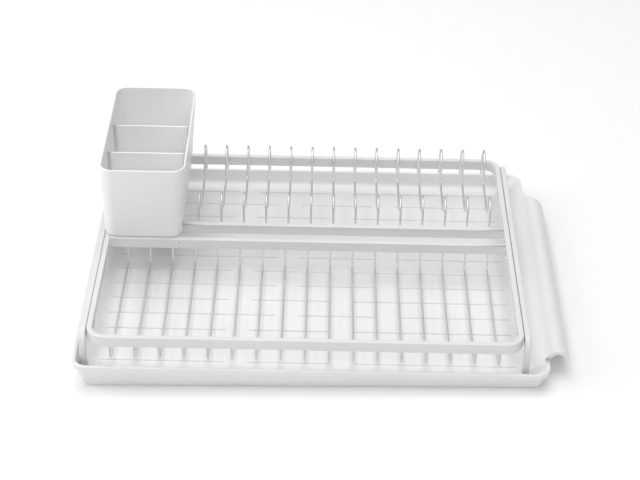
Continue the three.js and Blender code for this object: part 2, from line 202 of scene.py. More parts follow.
# powder coat: orange peel, a few pin marks, thin edges painted brighter as a highlight and rubbed a little
# smoother
def powderCoat(name, look):
    graph = Graph(name, {"IOR": 1.5, "Specular IOR Level": 0.5, "Coat Roughness": 0.25})
    peel = graph.noise(look["peel"], 1.5, 0.4)
    pits = graph.noise(look["pits"], 2, 0.6)
    cloud = graph.noise(look["cloud"], 3, 0.5)
    edgeRubAndSheen = graph.edges(0.51, 0.55)
    color = graph.mixed(graph.ramp(cloud, [(0.35, 0), (0.7, 1)]), look["tint"], look["shade"])
    # brighter along sharp edges: a painted highlight
    color = graph.mixed(edgeRubAndSheen * 0.6, color, look["edge"])
    roughness = look["gloss"] + peel * 0.10 + pits * 0.05 - edgeRubAndSheen * 0.06
    normal = graph.bump(peel, 0.16, look["peelDepth"])
    normal = graph.bump(pits, 0.05, look["pitDepth"], normal)
    return graph.finish(color=color, roughness=roughness, normal=normal)

wireLook = {
    "bright": (0.91, 0.91, 0.905), "dull": (0.79, 0.79, 0.79), "gloss": 0.32,
    "lines": (5200, 70, 70), "cloud": 60, "spots": 420, "lineDepth": 0.00002,
}

# drawn stainless wire: fine lines along its length and a little dulling from handling
def drawnSteel(name, look):
    graph = Graph(name, {"Metallic": 1.0})
    lines = graph.noise(1, 3, 0.7, graph.stretched(look["lines"]))
    cloud = graph.noise(look["cloud"], 3, 0.6)
    spots = graph.ramp(graph.noise(look["spots"], 2, 0.5), [(0.62, 0), (0.74, 1)])
    color = graph.mixed(cloud * 0.7 + lines * 0.3, look["bright"], look["dull"])
    roughness = look["gloss"] + lines * 0.10 + cloud * 0.08 + spots * 0.08
    normal = graph.bump(lines, 0.12, look["lineDepth"])
    return graph.finish(color=color, roughness=roughness, normal=normal)

rivetLook = {
    "bright": (0.90, 0.90, 0.90), "dull": (0.78, 0.78, 0.785), "gloss": 0.30,
    "scratches": (900, 5200, 900), "cloud": 300, "scratchDepth": 0.00002,
}

# polished rivet heads with fine scratches from the setting tool
def polishedSteel(name, look):
    graph = Graph(name, {"Metallic": 1.0})
    scratches = graph.noise(1, 4, 0.7, graph.stretched(look["scratches"]))
    cloud = graph.noise(look["cloud"], 2, 0.5)
    color = graph.mixed(cloud, look["bright"], look["dull"])
    roughness = look["gloss"] + scratches * 0.12
    normal = graph.bump(scratches, 0.08, look["scratchDepth"])
    return graph.finish(color=color, roughness=roughness, normal=normal)

rubberLook = {
    "tint": (0.60, 0.60, 0.60), "wornAndSheen": (0.66, 0.66, 0.655), "gloss": 0.72,
    "grain": 1900, "grainDepth": 0.00008,
}

# soft grey rubber, lighter along sharp edges: partly chalky rubbing, partly painted highlight
def softRubber(name, look):
    graph = Graph(name, {"IOR": 1.5, "Specular IOR Level": 0.3})
    grain = graph.noise(look["grain"], 3, 0.6)
    edgeRubAndSheen = graph.edges(0.51, 0.56)
    # lighter along sharp edges: partly chalky rubbing, partly painted highlight
    color = graph.mixed(edgeRubAndSheen * 0.7 + grain * 0.2, look["tint"], look["wornAndSheen"])
    roughness = look["gloss"] + grain * 0.12
    normal = graph.bump(grain, 0.22, look["grainDepth"])
    return graph.finish(color=color, roughness=roughness, normal=normal)

# the same moulding in whiter plastic for the holder, and in darker, duller plastic for the tray's ribs,
# whose darker tint is painted shade along the ribs
holderLook = {
    **plasticLook,
    "tint": (0.955, 0.955, 0.952), "shade": (0.930, 0.931, 0.929), "edge": (0.98, 0.98, 0.977),
    "grain": 1900, "mottle": 26, "gloss": 0.26,
}
# darker tint of the ribs: painted shade, the ribs are the tray's own plastic
ribShadeLook = {
    **plasticLook,
    "tint": (0.70, 0.70, 0.70), "shade": (0.64, 0.64, 0.64), "edge": (0.78, 0.78, 0.78),
    "mottle": 30, "gloss": 0.42,
}
finishes = {
    "tray_plastic": mouldedPlastic("tray_plastic_look", plasticLook),
    "holder_plastic": mouldedPlastic("holder_plastic_look", holderLook),
    "coated_steel": powderCoat("coated_steel_look", coatLook),
    "wire_steel": drawnSteel("wire_steel_look", wireLook),
    "rivet_steel": polishedSteel("rivet_steel_look", rivetLook),
    "pad_rubber": softRubber("pad_rubber_look", rubberLook),
}
ribShadePlastic = mouldedPlastic("rib_painted_shade_look", ribShadeLook)
for part in frame["record"]["subparts"]:
    slots = nodes[part["node"]].data.materials
    slots.clear()
    slots.append(finishes[part["material_slot"]])
print("finishes made:", len(finishes))

# points and faces gathered for one mesh
class Shape:
    def __init__(self):
        self.points = []
        self.faces = []

    def ring(self, points):
        start = len(self.points)
        self.points.extend(Vector(p) for p in points)
        return list(range(start, len(self.points)))

    def bridge(self, first, second, around=True):
        count = len(first)
        for i in range(count if around else count - 1):
            j = (i + 1) % count
            self.faces.append((first[i], first[j], second[j], second[i]))

    # rings joined into a skin; a closed path joins its last ring to its first, an open one is capped
    def loft(self, rings, closedPath=False):
        made = [self.ring(r) for r in rings]
        for first, second in zip(made, made[1:]):
            self.bridge(first, second)
        if closedPath:
            self.bridge(made[-1], made[0])
        else:
            self.faces.append(tuple(reversed(made[0])))
            self.faces.append(tuple(made[-1]))

# rounded rectangle round (0, 0), as (across, up) pairs
def roundedLoop(width, height, radius, steps=4):
    loop = []
    for cx, cy, start in ((1, -1, -90), (1, 1, 0), (-1, 1, 90), (-1, -1, 180)):
        for step in range(steps + 1):
            angle = math.radians(start + 90 * step / steps)
            loop.append((cx * (width / 2 - radius) + radius * math.cos(angle),
                         cy * (height / 2 - radius) + radius * math.sin(angle)))
    return loop

def circleLoop(radius, sides):
    return [(radius * math.cos(2 * math.pi * k / sides), radius * math.sin(2 * math.pi * k / sides))
            for k in range(sides)]

# rounded rectangle in plan, as points at one height
def planLoop(lowX, highX, lowY, highY, radius, z, steps=10):
    loop = roundedLoop(highX - lowX, highY - lowY, radius, steps)
    return [Vector(((lowX + highX) / 2 + x, (lowY + highY) / 2 + y, z)) for x, y in loop]

# the section carried along a path that lies in the plane square to "across"
def sweepRings(path, across, section, closedPath=False):
    rings = []
    count = len(path)
    for i, point in enumerate(path):
        before = path[(i - 1) % count] if closedPath or i > 0 else path[i]
        after = path[(i + 1) % count] if closedPath or i < count - 1 else path[i]
        along = (after - before).normalized()
        side = across.cross(along)
        rings.append([point + across * a + side * b for a, b in section])
    return rings

beadStyle = {"sides": 8, "stations": 7, "endShare": 0.08, "fullness": 0.6, "lumps": 0.10}

# small weld bead: a lumpy capsule that reaches as far either side of its middle
def addBead(shape, middle, reach, radius, seed, s=beadStyle):
    along = reach.normalized()
    side = along.orthogonal().normalized()
    other = along.cross(side)
    rings = []
    for k in range(s["stations"]):
        t = k / (s["stations"] - 1)
        swell = math.sin(math.pi * (s["endShare"] + (1 - 2 * s["endShare"]) * t)) ** s["fullness"]
        r = radius * swell * (1 + s["lumps"] * math.sin(seed * 2.7 + k * 2.1))
        centre = middle + reach * (2 * t - 1)
        rings.append([centre + side * a + other * b for a, b in circleLoop(r, s["sides"])])
    shape.loft(rings)

# a shape as a linked object in the shared frame, with its faces turned outwards
def makeObject(name, shape, merge=None):
    mesh = bpy.data.meshes.new(name)
    mesh.from_pydata([toFrame @ p for p in shape.points], [], shape.faces)
    work = bmesh.new()
    work.from_mesh(mesh)
    if merge:
        bmesh.ops.remove_doubles(work, verts=work.verts, dist=merge)
        bmesh.ops.dissolve_degenerate(work, edges=work.edges, dist=merge)
    bmesh.ops.recalc_face_normals(work, faces=work.faces)
    work.to_mesh(mesh)
    work.free()
    made = bpy.data.objects.new(name, mesh)
    bpy.context.scene.collection.objects.link(made)
    return made

def addPiece(name, shape, standsFor, body, slotName, merge=None):
    piece = makeObject(name, shape, merge)
    piece.data.shade_smooth()
    piece.data.materials.append(finishes[slotName])
    weighted = piece.modifiers.new("even shading", "WEIGHTED_NORMAL")
    weighted.keep_sharp = False
    weighted.weight = 80
    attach(piece, body)
    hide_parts(*standsFor)
    return piece

barStyle = {
    "thickness": 5.2, "cornerRound": 1.0, "hoopCorner": 18.0, "cornerSteps": 12, "lengths": 12,
    "beadRadius": 1.1, "beadReach": 0.36, "beadBite": 0.2,
}

def makeHoop(s):
    half = s["thickness"] * mm / 2
    middle = (hoopLow.z + hoopTop) / 2
    path = planLoop(hoopLow.x + half, hoopHigh.x - half, hoopLow.y + half, hoopHigh.y - half,
                    s["hoopCorner"] * mm - half, middle, s["cornerSteps"])
    section = roundedLoop(hoopTop - hoopLow.z, s["thickness"] * mm, s["cornerRound"] * mm)
    shape = Shape()
    shape.loft(sweepRings(path, Vector((0, 0, 1)), section, True), True)
    addPiece("hoop_band", shape, ["rim_hoop"], "rack", "coated_steel")

# a straight bar along x (axis 0) or y (axis 1), from reachLow to reachHigh
def makeBar(name, node, axis, s, reachLow, reachHigh):
    low, high = span(node)
    low[axis], high[axis] = reachLow, reachHigh
    middle = (low + high) / 2
    across = 1 - axis
    start, end = middle.copy(), middle.copy()
    start[axis], end[axis] = low[axis], high[axis]
    section = roundedLoop(high.z - low.z, high[across] - low[across], s["cornerRound"] * mm)
    path = [start.lerp(end, k / s["lengths"]) for k in range(s["lengths"] + 1)]
    shape = Shape()
    shape.loft(sweepRings(path, Vector((0, 0, 1)), section))
    # weld beads down the two inside corners at each end
    up = Vector((0, 0, (high.z - low.z) * s["beadReach"]))
    for k, (at, inward) in enumerate(((start, 1), (end, -1))):
        for side in (-1, 1):
            corner = at.copy()
            corner[across] += side * (high[across] - low[across]) / 2
            corner[axis] += s["beadRadius"] * mm * s["beadBite"] * inward
            addBead(shape, corner, up, s["beadRadius"] * mm, k + side + at.x * 90)
    addPiece(name, shape, [node], "rack", "coated_steel")

makeHoop(barStyle)
innerLeft = hoopLow.x + barStyle["thickness"] * mm
innerRight = hoopHigh.x - barStyle["thickness"] * mm
innerRear = hoopHigh.y - barStyle["thickness"] * mm
makeBar("front_crossbar_bar", "front_crossbar", 0, barStyle, innerLeft, innerRight)
makeBar("rear_crossbar_bar", "rear_crossbar", 0, barStyle, span("bay_divider_bar")[1].x, innerRight)
makeBar("bay_divider", "bay_divider_bar", 1, barStyle, span("front_crossbar")[1].y, innerRear)
print("hoop and crossbars made")

legStyle = {"band": 9.6, "bend": 15.0, "cornerRound": 1.2, "bendSteps": 10, "lengths": 8}

# quarter bend from the start angle, turning down towards zero, in the plane square to x
def bendPoints(x, middleY, middleZ, radius, start, steps):
    angles = [math.radians(start - 90 * k / steps) for k in range(steps + 1)]
    return [Vector((x, middleY + radius * math.cos(a), middleZ + radius * math.sin(a))) for a in angles]

def makeLeg(sideName, s):
    node = sideName + "_leg_bar"
    low, high = span(node)
    x = (low.x + high.x) / 2
    half = s["band"] * mm / 2
    radius = s["bend"] * mm - half
    front, rear, top = low.y + half, high.y - half, high.z - half
    frontBend = bendPoints(x, front + radius, top - radius, radius, 180, s["bendSteps"])
    rearBend = bendPoints(x, rear - radius, top - radius, radius, 90, s["bendSteps"])
    along = [frontBend[-1].lerp(rearBend[0], k / s["lengths"]) for k in range(1, s["lengths"])]
    halfway = (low.z + top - radius) / 2
    path = [Vector((x, front, low.z)), Vector((x, front, halfway))] + frontBend + along + rearBend
    path += [Vector((x, rear, halfway)), Vector((x, rear, low.z))]
    section = roundedLoop(high.x - low.x, s["band"] * mm, s["cornerRound"] * mm)
    shape = Shape()
    shape.loft(sweepRings(path, Vector((1, 0, 0)), section))
    addPiece(sideName + "_leg", shape, [node], "rack", "coated_steel")

# levels: how far in from the flange and how far up, in mm
padStyle = {
    "flange": 0.25, "corner": 1.5, "cornerSteps": 5,
    "levels": [(0.9, 0.0), (0.3, 0.35), (0.0, 1.0), (0.0, 4.3), (0.25, 4.6), (0.55, 4.75), (0.55, 5.3),
               (0.2, 5.5), (0.2, 6.0)],
}

def makePad(place, s):
    node = place + "_foot_pad"
    low, high = span(node)
    rings = []
    for inset, rise in s["levels"]:
        i = (inset - s["flange"]) * mm
        rings.append(planLoop(low.x + i, high.x - i, low.y + i, high.y - i, s["corner"] * mm,
                              low.z + rise * mm, s["cornerSteps"]))
    shape = Shape()
    shape.loft(rings)
    addPiece(place + "_pad", shape, [node], "rack", "pad_rubber")

for sideName in ("left", "right"):
    makeLeg(sideName, legStyle)
    for endName in ("front", "rear"):
        makePad(sideName + "_" + endName, padStyle)
print("legs and pads made")

# brim: widths and rises of the flat rim under the dome, as shares of the head's radius and of its land
rivetStyle = {
    "head": 2.6, "dome": 1.4, "land": 0.7, "sides": 24, "steps": 7, "domeStart": 8, "domeSweep": 78,
    "brim": [(0.62, -0.5), (1.0, -0.45), (1.0, 0.0)],
}

def makeRivet(place, outward, s):
    node = place + "_rivet"
    low, high = span(node)
    middle = (low + high) / 2
    outward = Vector(outward)
    axis = max(range(3), key=lambda k: abs(outward[k]))
    tip = middle.copy()
    tip[axis] = high[axis] if outward[axis] > 0 else low[axis]
    base = tip - outward * s["dome"] * mm
    side = outward.orthogonal().normalized()
    other = outward.cross(side)
    profile = [(width, rise * s["land"]) for width, rise in s["brim"]]
    for k in range(s["steps"] + 1):
        angle = math.radians(s["domeStart"] + s["domeSweep"] * k / s["steps"])
        profile.append((math.cos(angle), math.sin(angle) * s["dome"]))
    rings = []
    for width, rise in profile:
        centre = base + outward * rise * mm
        loop = circleLoop(s["head"] * width * mm, s["sides"])
        rings.append([centre + side * a + other * b for a, b in loop])
    shape = Shape()
    shape.loft(rings)
    addPiece(place + "_rivet_head", shape, [node], "rack", "rivet_steel")

for place in ("front", "front_middle", "rear_middle", "rear"):
    makeRivet("left_" + place, (1, 0, 0), rivetStyle)
    makeRivet("right_" + place, (-1, 0, 0), rivetStyle)
makeRivet("bay_front", (0, -1, 0), rivetStyle)
makeRivet("bay_rear", (0, 1, 0), rivetStyle)
print("rivets made")

wireStyle = {
    "radius": 1.2, "sides": 12, "bend": 5.0, "bendSteps": 7, "longest": 30, "shortest": 0.001,
    "lean": 2.6, "run": 8.8,
    "archRadius": 12.8, "archSteps": 18, "frontArchRise": 17.2, "footRun": 12.3,
    "weld": 1.35, "weldSink": 0.7, "basketWeldDrop": 2.2, "basketWeldReach": 2.0,
    "plateWeldDrop": 6.5, "plateWeldReach": 2.4, "footWeldInset": 0.4, "footWeldReach": 1.5,
}

# points along a curve from a to c that leaves and arrives pointing at b
def curve(a, b, c, steps):
    shares = [k / steps for k in range(steps + 1)]
    return [a * (1 - t) ** 2 + b * 2 * t * (1 - t) + c * t * t for t in shares]

# a route of straight stretches with its corners rounded to about the radius
def roundRoute(corners, radius, steps):
    route = [corners[0]]
    for before, corner, after in zip(corners, corners[1:], corners[2:]):
        inward = (before - corner).normalized()
        outward = (after - corner).normalized()
        reach = radius / math.tan(inward.angle(outward) / 2)
        reach = min(reach, (before - corner).length * 0.49, (after - corner).length * 0.49)
        route += curve(corner + inward * reach, corner, corner + outward * reach, steps)
    route.append(corners[-1])
    return route

# the wire along its route, long stretches cut into shorter ones
def addWire(shape, route, s):
    path = []
    for a, b in zip(route, route[1:]):
        if (b - a).length > s["shortest"] * mm:
            pieces = max(1, round((b - a).length / (s["longest"] * mm)))
            path += [a.lerp(b, k / pieces) for k in range(pieces)]
    path.append(route[-1])
    shape.loft(sweepRings(path, Vector((1, 0, 0)), circleLoop(s["radius"] * mm, s["sides"])))

def makeBasketWire(number, s):
    node = "basket_wire_%d" % number
    low, high = span(node)
    x = (low.x + high.x) / 2
    r = s["radius"] * mm
    rear, front, bottom, top = high.y - r, low.y + r, low.z + r, high.z
    corners = [Vector((x, rear, top)), Vector((x, rear, bottom)),
               Vector((x, front + s["lean"] * mm, bottom)), Vector((x, front, top))]
    shape = Shape()
    addWire(shape, roundRoute(corners, s["bend"] * mm, s["bendSteps"]), s)
    # welds to the crossbar behind and to the hoop in front
    reach = Vector((0, 0, s["basketWeldReach"] * mm))
    for y, seed in ((rear, number), (front, number + 40)):
        at = Vector((x, y - r * s["weldSink"], top - s["basketWeldDrop"] * mm))
        addBead(shape, at, reach, s["weld"] * mm, seed)
    addPiece("basket_wire_loop_%d" % number, shape, [node], "rack", "wire_steel")

# half circle over the top, from rear to front
def arch(x, centreY, apex, radius, steps):
    centreZ = apex - radius
    return [Vector((x, centreY + radius * math.cos(math.pi * k / steps),
                    centreZ + radius * math.sin(math.pi * k / steps))) for k in range(steps + 1)]

# the rounded corner alone, without the ends of the route
def turn(before, corner, after, radius, steps):
    return roundRoute([before, corner, after], radius, steps)[1:-1]

# how far short of the rear crossbar the plate wires end
footGap = span("plate_wire_1")[0].y - span("rear_crossbar")[1].y

def makePlateWire(number, s):
    node = "plate_wire_%d" % number
    low, high = span(node)
    x = (low.x + high.x) / 2
    r = s["radius"] * mm
    radius = s["archRadius"] * mm
    level = hoopTop - s["run"] * mm
    rearLeg, frontEnd = high.y - r, low.y
    rearMiddle = rearLeg - radius
    frontMiddle = frontEnd - footGap + s["footRun"] * mm + radius

    def point(y, z=level):
        return Vector((x, y, z))

    rearArch = arch(x, rearMiddle, high.z - r, radius, s["archSteps"])
    frontArch = arch(x, frontMiddle, hoopTop + s["frontArchRise"] * mm, radius, s["archSteps"])
    bend, steps = s["bend"] * mm, s["bendSteps"]
    foot = point(frontEnd)
    route = [point(rearLeg, low.z)] + rearArch
    route += turn(rearArch[-1], point(rearMiddle - radius), point(frontMiddle), bend, steps)
    route += turn(point(rearMiddle), point(frontMiddle + radius), frontArch[0], bend, steps)
    route += frontArch
    route += turn(frontArch[-1], point(frontMiddle - radius), foot, bend, steps)
    route.append(foot)
    shape = Shape()
    addWire(shape, route, s)
    # welds to the hoop behind and to the rear crossbar in front
    at = point(rearLeg + r * s["weldSink"], hoopTop - s["plateWeldDrop"] * mm)
    addBead(shape, at, Vector((0, 0, s["plateWeldReach"] * mm)), s["weld"] * mm, number + 3)
    at = point(frontEnd + s["footWeldInset"] * mm)
    addBead(shape, at, Vector((s["footWeldReach"] * mm, 0, 0)), s["weld"] * mm, number + 9)
    addPiece("plate_wire_run_%d" % number, shape, [node], "rack", "wire_steel")

for number in range(1, 18):
    makeBasketWire(number, wireStyle)
for number in range(1, 15):
    makePlateWire(number, wireStyle)
print("wires made")

# plugFoot: how far in and how far up at the foot of the plug; dividerCap: how far below the top and what
# share of the thickness is left there
holderStyle = {
    "wall": 2.0, "corner": 11.0, "steps": 10, "grow": 4.0, "flare": 6.4, "leftFlare": 1.6, "lip": 0.9,
    "lipSteps": 6, "wallShares": (0.2, 0.5, 0.8), "footRound": 1.6, "footSteps": 4, "seatGap": 0.3,
    "plugGap": 2.6, "plugDepth": 7.0, "plugCorner": 12.8, "plugFoot": [(1.6, 0.0), (0.5, 0.3), (0.0, 1.2)],
    "plugStep": 0.6, "divider": 1.8, "dividerTop": 68.0, "dividerSink": 0.5, "dividerRoot": 20,
    "dividerSteps": 10, "dividerCap": [(0.6, 1.0), (0.25, 0.95), (0.07, 0.82), (0.0, 0.62)],
    "drain": 3.0, "drainSides": 20, "drainAcross": (0.3, 0.7), "drainAlong": (1 / 6, 3 / 6, 5 / 6),
}

def makeHolder(s):
    low, high = span("cutlery_holder")
    seat = hoopTop + s["seatGap"] * mm
    height = high.z - seat
    wall, foot, lip = s["wall"] * mm, s["footRound"] * mm, s["lip"] * mm
    grow, flare, leftFlare = s["grow"] * mm, s["flare"] * mm, s["leftFlare"] * mm
    base = (low.x + leftFlare, high.x - flare, low.y + grow, high.y - grow)
    barLow, crossHigh = span("bay_divider_bar")[0], span("front_crossbar")[1]
    gap = s["plugGap"] * mm
    plug = (innerLeft + gap, barLow.x - gap, crossHigh.y + gap, innerRear - gap)

    # one level of the tapered body, pulled in by inset
    def level(z, inset):
        t = (z - seat) / height
        g, f = grow * t, flare * t
        radius = s["corner"] * mm + g / 2 - inset
        return planLoop(base[0] - leftFlare * t + inset, base[1] + f - inset, base[2] - g + inset,
                        base[3] + g - inset, radius, z, s["steps"])

    # one level of the straight plug that hangs in the bay
    def plugLevel(z, inset):
        return planLoop(plug[0] + inset, plug[1] - inset, plug[2] + inset, plug[3] - inset,
                        s["plugCorner"] * mm - inset, z, s["steps"])

    def quarterTurn(steps):
        return [math.radians(90 * k / steps) for k in range(steps + 1)]

    # the skin runs up the outside, over the lip and down the inside
    plugBottom = seat - s["plugDepth"] * mm
    rings = [plugLevel(plugBottom + rise * mm, inset * mm) for inset, rise in s["plugFoot"]]
    rings.append(plugLevel(seat, 0))
    for angle in quarterTurn(s["footSteps"]):
        rings.append(level(seat + foot * (1 - math.cos(angle)), foot * (1 - math.sin(angle))))
    rings += [level(seat + height * t, 0) for t in s["wallShares"]]
    for k in range(s["lipSteps"] + 1):
        angle = math.pi * k / s["lipSteps"]
        rings.append(level(high.z - lip * (1 - math.sin(angle)), wall / 2 * (1 - math.cos(angle))))
    rings += [level(seat + height * t, wall) for t in reversed(s["wallShares"])]
    inner = seat + wall
    for angle in quarterTurn(s["footSteps"]):
        rings.append(level(inner + foot * (1 - math.sin(angle)), wall + foot * (1 - math.cos(angle))))
    step = s["plugStep"] * mm
    rings += [plugLevel(inner, wall - step), plugLevel(inner - step, wall)]
    floor = plugBottom + wall
    for angle in quarterTurn(s["footSteps"] - 1):
        rings.append(plugLevel(floor + foot * (1 - math.sin(angle)), wall + foot * (1 - math.cos(angle))))
    body = Shape()
    body.loft(rings)

    # two dividers, a little thinner higher up and rounded along the top, let into the side walls
    depth = base[3] - base[2]
    half = s["divider"] * mm / 2
    dividerTop = hoopTop + s["dividerTop"] * mm
    bottoms = ((floor - s["dividerSink"] * mm, 0.35), (inner, 0.3), (inner + s["dividerRoot"] * mm, 0.2))
    levels = [(z, half + thicker * mm) for z, thicker in bottoms]
    levels += [(dividerTop - below * mm, half * share) for below, share in s["dividerCap"]]
    for part in (1 / 3, 2 / 3):
        y = base[2] + depth * part
        rings = []
        for z, thick in levels:
            t = (z - seat) / height
            if z < inner:
                lowX, highX = plug[0] + wall / 2, plug[1] - wall / 2
            else:
                lowX, highX = base[0] - leftFlare * t + wall / 2, base[1] + flare * t - wall / 2
            across = [lowX + (highX - lowX) * k / s["dividerSteps"] for k in range(s["dividerSteps"] + 1)]
            rings.append([Vector((x, y - thick, z)) for x in across]
                         + [Vector((x, y + thick, z)) for x in reversed(across)])
        body.loft(rings)
    piece = addPiece("cutlery_holder_shell", body, ["cutlery_holder"], "holder", "holder_plastic")

    # drain holes through the stepped base
    drills = Shape()
    loop = circleLoop(s["drain"] * mm, s["drainSides"])
    for share in s["drainAlong"]:
        for sideways in s["drainAcross"]:
            x = plug[0] + (plug[1] - plug[0]) * sideways
            y = base[2] + depth * share
            drills.loft([[Vector((x + a, y + b, z)) for a, b in loop]
                         for z in (plugBottom - wall, floor + wall)])
    return piece, drills

# cuts the drills out of the piece for good, before its shading modifier
def drill(piece, drills):
    tool = makeObject("drain_drills", drills)
    cut = piece.modifiers.new("drain holes", "BOOLEAN")
    cut.operation = "DIFFERENCE"
    cut.solver = "EXACT"
    cut.use_self = True
    cut.object = tool
    piece.modifiers.move(len(piece.modifiers) - 1, 0)
    weighted = piece.modifiers["even shading"]
    weighted.show_viewport = False
    bpy.context.view_layer.update()
    result = bpy.data.meshes.new_from_object(piece.evaluated_get(bpy.context.evaluated_depsgraph_get()))
    piece.modifiers.remove(cut)
    weighted.show_viewport = True
    piece.data = result
    result.shade_smooth()
    bpy.data.objects.remove(tool)

holder, drills = makeHolder(holderStyle)
drill(holder, drills)
print("cutlery holder made")

# lip: how far along and how far down at the front of the handle; ribBreaks: the middles of the breaks in
# even and in odd rows; ribEnds: how far in and what share of the full size
trayStyle = {
    "corner": 15.0, "cornerSteps": 12, "smallest": 4.0, "rimBead": 5.1, "rimWidth": 3.4, "rimCrown": 0.15,
    "rimFall": 0.5, "fallFrom": 0.7, "wallLean": 0.285, "wallShares": (0.35, 0.65, 0.88), "sheet": 2.3,
    "floorDrop": 14.0, "floorSheet": 2.5, "rampRun": 10.5, "fillet": 3.6, "filletRise": 1.2,
    "filletRun": 2.2, "filletSteps": 6, "skirtShares": (0.35, 0.8), "footRound": 0.6, "footInset": 0.5,
    "footClear": 0.02,
    "handleRadius": 10.5, "handleSink": 2.3, "handleSheet": 3.8, "handleFrontInset": 27.0,
    "handleRearInset": 40.0, "sweep": 28.0, "sweepSteps": 24, "beyond": 100, "archPoints": 18,
    "underPoints": 10, "crowding": 0.9, "lip": [(0.0, 0.55), (0.25, 0.2), (0.8, 0.0)],
    "straightStations": 12, "sweepStations": 21, "merge": 0.002,
    "ribHeight": 0.8, "ribWidth": 1.5, "ribSteps": 6, "ribSink": 0.5, "ribPitch": 24.1, "ribFirst": 29.4,
    "ribRows": 13, "ribGap": 22.0, "ribInset": 24.0, "ribInsetRight": 31.0,
    "ribBreaks": ((-66.5, 34.5), (-19.5, 79.5)), "ribEnds": [(0.0, 0.15), (0.5, 0.75), (1.4, 1.0)],
}

def makeTray(s):
    low, high = span("drip_tray")
    radius = s["handleRadius"] * mm
    rimWidth = s["rimWidth"] * mm
    left = low.x
    right = high.x - 2 * radius + rimWidth / 2
    front, rear = low.y, high.y
    rimTop = high.z - radius + s["handleSink"] * mm
    beadBottom = rimTop - s["rimBead"] * mm
    floor = rimTop - s["floorDrop"] * mm
    underFloor = floor - s["floorSheet"] * mm
    corner = s["corner"] * mm
    sheet = s["sheet"] * mm
    run = s["rampRun"] * mm

    # how far in from the outer edge the leaning inside wall and the skirt outside it are, at a height
    def wallAt(z):
        return rimWidth + (rimTop - z) * s["wallLean"]

    def skirtAt(z):
        return wallAt(z) - sheet

    def tableAt(x):
        return x * math.tan(drainSlope)

    # handle arch: centre line, where the ramp leaves it, and its edge in plan with the S at the rear
    archX = right + radius - rimWidth / 2
    archZ = rimTop - s["handleSink"] * mm
    outerX = archX + radius
    rimX = right - rimWidth
    toRim = math.atan2(rimTop - archZ, rimX - archX)
    tangent = toRim - math.acos(radius / math.hypot(rimX - archX, rimTop - archZ))
    tangentX = archX + radius * math.cos(tangent)
    tangentZ = archZ + radius * math.sin(tangent)
    handleFront = front + s["handleFrontInset"] * mm
    handleRear = rear - s["handleRearInset"] * mm
    sweep = s["sweep"] * mm
    sweepStart = handleRear - sweep
    beyond = s["beyond"] * mm
    leave, arrive = Vector((outerX, sweepStart)), Vector((right, handleRear + 5 * mm))
    halfway = Vector(((right + outerX) / 2, handleRear - sweep * 0.38))
    edge = [Vector((outerX, handleFront - beyond))]
    edge += curve(leave, Vector((outerX, handleRear - sweep * 0.5)), halfway, s["sweepSteps"])
    edge += curve(halfway, Vector((right, handleRear - sweep * 0.25)), arrive, s["sweepSteps"])[1:]
    archEnd = edge[-1].y
    edge.append(Vector((right, rear + beyond)))

    def edgeX(y):
        for a, b in zip(edge, edge[1:]):
            if a.y <= y <= b.y and b.y > a.y:
                return a.x + (b.x - a.x) * (y - a.y) / (b.y - a.y)
        return right

    def edgeDistance(x, y):
        best = math.inf
        point = Vector((x, y))
        for a, b in zip(edge, edge[1:]):
            along = b - a
            t = max(0.0, min(1.0, (point - a).dot(along) / along.length_squared))
            best = min(best, (a + along * t - point).length)
        return best

    # height of a quarter round of radius r at the distance d in from its edge
    def quarter(d, r):
        return r if d >= r else math.sqrt(max(r * r - (r - d) ** 2, 0.0))

    # height of the arch above its centre line at x
    def crown(x, r):
        return r if x >= archX else math.sqrt(max(r ** 2 - (x - archX) ** 2, 0.0))

    # top of the ramp and arch over a point in plan
    def archTop(x, y):
        if x <= tangentX:
            ramp = rimTop + (tangentZ - rimTop) * (x - rimX) / (tangentX - rimX)
        else:
            ramp = archZ + crown(x, radius)
        rolled = archZ + quarter(edgeDistance(x, y), radius)
        return max(min(ramp, rolled), archZ)

    # underside of the handle's sheet
    def archUnder(x, y):
        inner = radius - s["handleSheet"] * mm
        away = edgeDistance(x, y) - s["handleSheet"] * mm
        return archZ + min(crown(x, inner), quarter(max(away, 0.0), inner))

    # up the inside wall from its fillet, as (offset, height, extra offset on the handle's side)
    fillet = s["fillet"] * mm
    wallRun = []
    for k in range(s["filletSteps"] + 1):
        t = k / s["filletSteps"]
        z = floor + fillet * s["filletRise"] * t ** 2
        offset = wallAt(floor) + fillet * (1 - t) ** 2 - (z - floor) * s["wallLean"] * t
        blend = (rimTop - z) / (rimTop - floor)
        wallRun.append((offset, z, run * blend + fillet * s["filletRun"] * (1 - t) ** 2))
    filletTop = wallRun[-1][1]
    for t in s["wallShares"]:
        z = filletTop + (rimTop - filletTop) * t
        wallRun.append((wallAt(z), z, run * (rimTop - z) / (rimTop - floor)))
    # down the rolled edge of the rim and in under it to the skirt
    skirtTop = skirtAt(beadBottom)
    outRun = [(0.0, rimTop - 1.3 * mm), (0.0, beadBottom + 0.8 * mm),
              (0.25 * mm, beadBottom + 0.25 * mm), (0.8 * mm, beadBottom),
              (skirtTop - 0.7 * mm, beadBottom), (skirtTop - 0.1 * mm, beadBottom - 0.5 * mm)]

    # where a station's section stands in plan, the offset in from the outer edge
    def stationPoint(station, offset, extra=0.0):
        kind, at = station
        if kind == "side":
            return right - offset - extra, at
        index, angle = at
        r = max(corner - offset, s["smallest"] * mm)
        cx = (right - corner - extra) if index in (0, 1) else (left + corner)
        cy = (front + corner) if index in (0, 3) else (rear - corner)
        if r > corner - offset:
            grow = r - (corner - offset)
            cx += grow * (-1 if index in (0, 1) else 1)
            cy += grow * (1 if index in (0, 3) else -1)
        return cx + r * math.cos(angle), cy + r * math.sin(angle)

    archCount, underCount = s["archPoints"], s["underPoints"]

